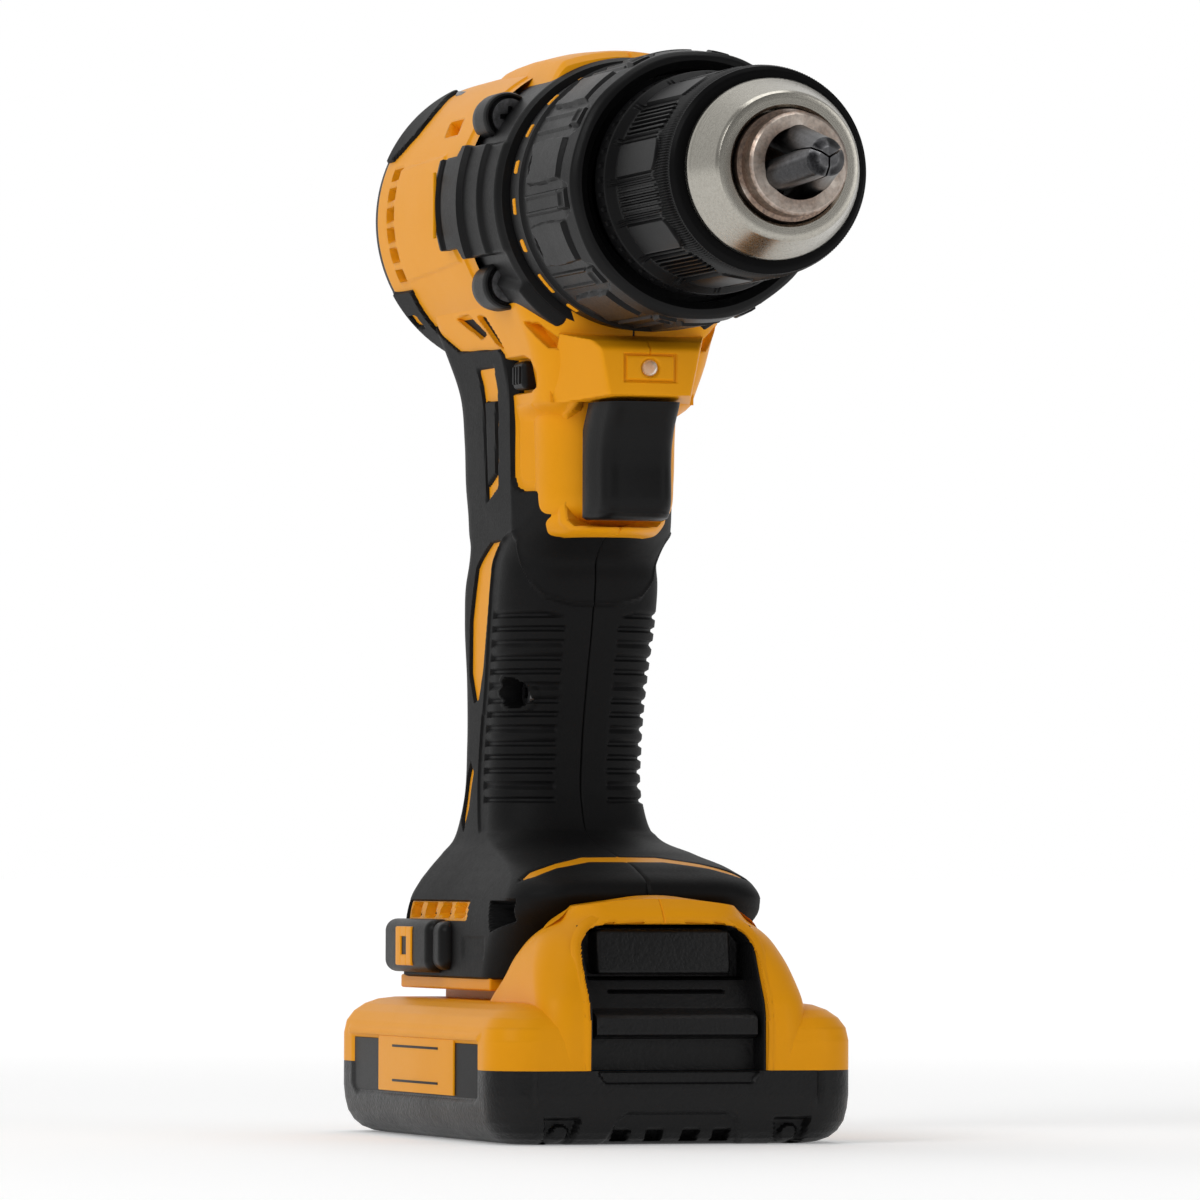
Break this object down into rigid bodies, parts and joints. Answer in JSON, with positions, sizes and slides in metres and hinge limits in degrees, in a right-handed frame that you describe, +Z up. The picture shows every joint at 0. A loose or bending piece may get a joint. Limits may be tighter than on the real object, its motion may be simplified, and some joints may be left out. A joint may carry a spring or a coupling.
{
  "type": "cordless drill",
  "caption": "Pistol-grip cordless drill driver with a keyless three-jaw chuck, torque collar, trigger, direction button and slide-off battery pack that it stands on.",
  "frame": {"origin": "centre of the battery pack's footprint on the surface the drill stands on", "axes": "+X forward along the chuck, +Y the drill's left, +Z up; the chuck's axis is parallel to X at z = 0.194"},
  "size_m": [0.2046, 0.078, 0.2264],
  "materials": {
    "yellow_plastic": "moulded orange-yellow nylon with a fine satin texture",
    "black_plastic": "moulded black nylon with a fine spark texture",
    "black_rubber": "soft black rubber, matte",
    "satin_nickel": "bead-blasted nickel-plated steel",
    "nose_steel": "turned bronze-tinted steel",
    "black_oxide": "black-oxide hardened steel",
    "steel": "ground steel",
    "gear_steel": "sintered steel",
    "copper": "enamelled copper wire",
    "brass": "turned brass",
    "magnet": "sintered ferrite",
    "screw_black": "black-coated steel",
    "lens": "clear moulded lens",
    "board_green": "printed circuit board",
    "cell_wrap": "shrink-wrapped lithium cells"
  },
  "bodies": {
    "housing": {"housing_right": "yellow_plastic", "housing_left": "yellow_plastic", "grip_rubber_right": "black_rubber", "grip_rubber_left": "black_rubber", "rear_bumper": "black_rubber", "rear_cap": "black_plastic", "gearcase": "black_plastic", "gearcase_screws": "screw_black", "motor_can": "steel", "motor_magnets": "magnet", "brush_card": "black_plastic", "motor_bearing_rear": "steel", "motor_bearing_front": "steel", "ring_gears": "gear_steel", "spindle_bearing": "steel", "clutch_spring": "steel", "switch_body": "black_plastic", "trigger_spring": "steel", "led_lens": "lens", "led_board": "board_green", "housing_screws": "screw_black", "hook_bosses": "black_plastic", "hook_inserts": "brass", "controller_board": "board_green", "terminal_block": "black_plastic"},
    "rotor": {"armature": "gear_steel", "armature_windings": "copper", "commutator": "copper", "cooling_fan": "black_plastic", "motor_shaft": "steel", "motor_pinion": "gear_steel"},
    "first_carrier": {"first_carrier": "gear_steel"},
    "spindle": {"second_carrier": "gear_steel", "spindle": "steel", "chuck_body": "nose_steel", "chuck_screw": "steel"},
    "sleeve": {"chuck_nut": "gear_steel", "chuck_sleeve": "black_plastic", "chuck_bevel_ring": "satin_nickel"},
    "collar": {"torque_collar": "black_plastic"},
    "trigger": {"trigger": "black_plastic"},
    "direction_button": {"direction_button": "black_plastic"},
    "speed_selector": {"speed_selector": "black_plastic"},
    "battery": {"battery_lower_case": "black_plastic", "battery_upper_case": "yellow_plastic", "battery_finger_shelf": "black_plastic", "battery_cells": "cell_wrap", "battery_board": "board_green", "battery_screws": "screw_black", "latch_spring": "steel"},
    "battery_latch": {"battery_latch": "black_plastic"},
    "first_planet_1": {"first_planet_1": "gear_steel"},
    "second_planet_1": {"second_planet_1": "gear_steel"},
    "chuck_jaw_1": {"chuck_jaw_1": "black_oxide"},
    "first_planet_2": {"first_planet_2": "gear_steel"},
    "second_planet_2": {"second_planet_2": "gear_steel"},
    "chuck_jaw_2": {"chuck_jaw_2": "black_oxide"},
    "first_planet_3": {"first_planet_3": "gear_steel"},
    "second_planet_3": {"second_planet_3": "gear_steel"},
    "chuck_jaw_3": {"chuck_jaw_3": "black_oxide"}
  },
  "joints": [
    {"name": "spindle_spin", "type": "hinge", "parent": "housing", "child": "spindle", "pos_m": [0, 0, 0.194], "axis": [1, 0, 0], "continuous": true},
    {"name": "rotor_spin", "type": "hinge", "parent": "housing", "child": "rotor", "pos_m": [0, 0, 0.194], "axis": [1, 0, 0], "continuous": true},
    {"name": "first_carrier_spin", "type": "hinge", "parent": "housing", "child": "first_carrier", "pos_m": [0, 0, 0.194], "axis": [1, 0, 0], "continuous": true},
    {"name": "sleeve_turn", "type": "hinge", "parent": "spindle", "child": "sleeve", "pos_m": [0, 0, 0.194], "axis": [1, 0, 0], "range_deg": [0, 6934.8]},
    {"name": "collar_turn", "type": "hinge", "parent": "housing", "child": "collar", "pos_m": [0, 0, 0.194], "axis": [1, 0, 0], "range_deg": [-138.4, 138.4]},
    {"name": "trigger_pull", "type": "slide", "parent": "housing", "child": "trigger", "axis": [-1, 0, 0], "range_m": [0, 0.0065], "stiffness_N_per_m": 900, "springref_m": -0.004, "deforming": ["trigger_spring"]},
    {"name": "direction_slide", "type": "slide", "parent": "housing", "child": "direction_button", "axis": [0, 1, 0], "range_m": [-0.003, 0.003]},
    {"name": "speed_selector_slide", "type": "slide", "parent": "housing", "child": "speed_selector", "axis": [1, 0, 0], "range_m": [0, 0.005]},
    {"name": "battery_slide", "type": "slide", "parent": "housing", "child": "battery", "axis": [1, 0, 0], "range_m": [0, 0.1]},
    {"name": "latch_press", "type": "slide", "parent": "battery", "child": "battery_latch", "axis": [-1, 0, 0], "range_m": [0, 0.003], "stiffness_N_per_m": 900, "springref_m": -0.003, "deforming": ["latch_spring"]},
    {"name": "first_planet_1_spin", "type": "hinge", "parent": "first_carrier", "child": "first_planet_1", "pos_m": [0, 0, 0.2036], "axis": [1, 0, 0], "continuous": true},
    {"name": "second_planet_1_spin", "type": "hinge", "parent": "spindle", "child": "second_planet_1", "pos_m": [0, 0, 0.2036], "axis": [1, 0, 0], "continuous": true},
    {"name": "chuck_jaw_1_slide", "type": "slide", "parent": "spindle", "child": "chuck_jaw_1", "axis": [-0.9744, 0, 0.225], "range_m": [0, 0.02891]},
    {"name": "first_planet_2_spin", "type": "hinge", "parent": "first_carrier", "child": "first_planet_2", "pos_m": [0, -0.00831, 0.1892], "axis": [1, 0, 0], "continuous": true},
    {"name": "second_planet_2_spin", "type": "hinge", "parent": "spindle", "child": "second_planet_2", "pos_m": [0, -0.00831, 0.1892], "axis": [1, 0, 0], "continuous": true},
    {"name": "chuck_jaw_2_slide", "type": "slide", "parent": "spindle", "child": "chuck_jaw_2", "axis": [-0.9744, -0.1948, -0.1125], "range_m": [0, 0.02891]},
    {"name": "first_planet_3_spin", "type": "hinge", "parent": "first_carrier", "child": "first_planet_3", "pos_m": [0, 0.00831, 0.1892], "axis": [1, 0, 0], "continuous": true},
    {"name": "second_planet_3_spin", "type": "hinge", "parent": "spindle", "child": "second_planet_3", "pos_m": [0, 0.00831, 0.1892], "axis": [1, 0, 0], "continuous": true},
    {"name": "chuck_jaw_3_slide", "type": "slide", "parent": "spindle", "child": "chuck_jaw_3", "axis": [-0.9744, 0.1948, -0.1125], "range_m": [0, 0.02891]}
  ],
  "couplings": [
    {"joint": "rotor_spin", "follows": "spindle_spin", "ratio": 16},
    {"joint": "first_carrier_spin", "follows": "spindle_spin", "ratio": 4},
    {"joint": "first_planet_1_spin", "follows": "spindle_spin", "ratio": -12},
    {"joint": "second_planet_1_spin", "follows": "spindle_spin", "ratio": -3},
    {"joint": "chuck_jaw_1_slide", "follows": "sleeve_turn", "m_per_rad": 0.00023873},
    {"joint": "first_planet_2_spin", "follows": "spindle_spin", "ratio": -12},
    {"joint": "second_planet_2_spin", "follows": "spindle_spin", "ratio": -3},
    {"joint": "chuck_jaw_2_slide", "follows": "sleeve_turn", "m_per_rad": 0.00023873},
    {"joint": "first_planet_3_spin", "follows": "spindle_spin", "ratio": -12},
    {"joint": "second_planet_3_spin", "follows": "spindle_spin", "ratio": -3},
    {"joint": "chuck_jaw_3_slide", "follows": "sleeve_turn", "m_per_rad": 0.00023873}
  ]
}
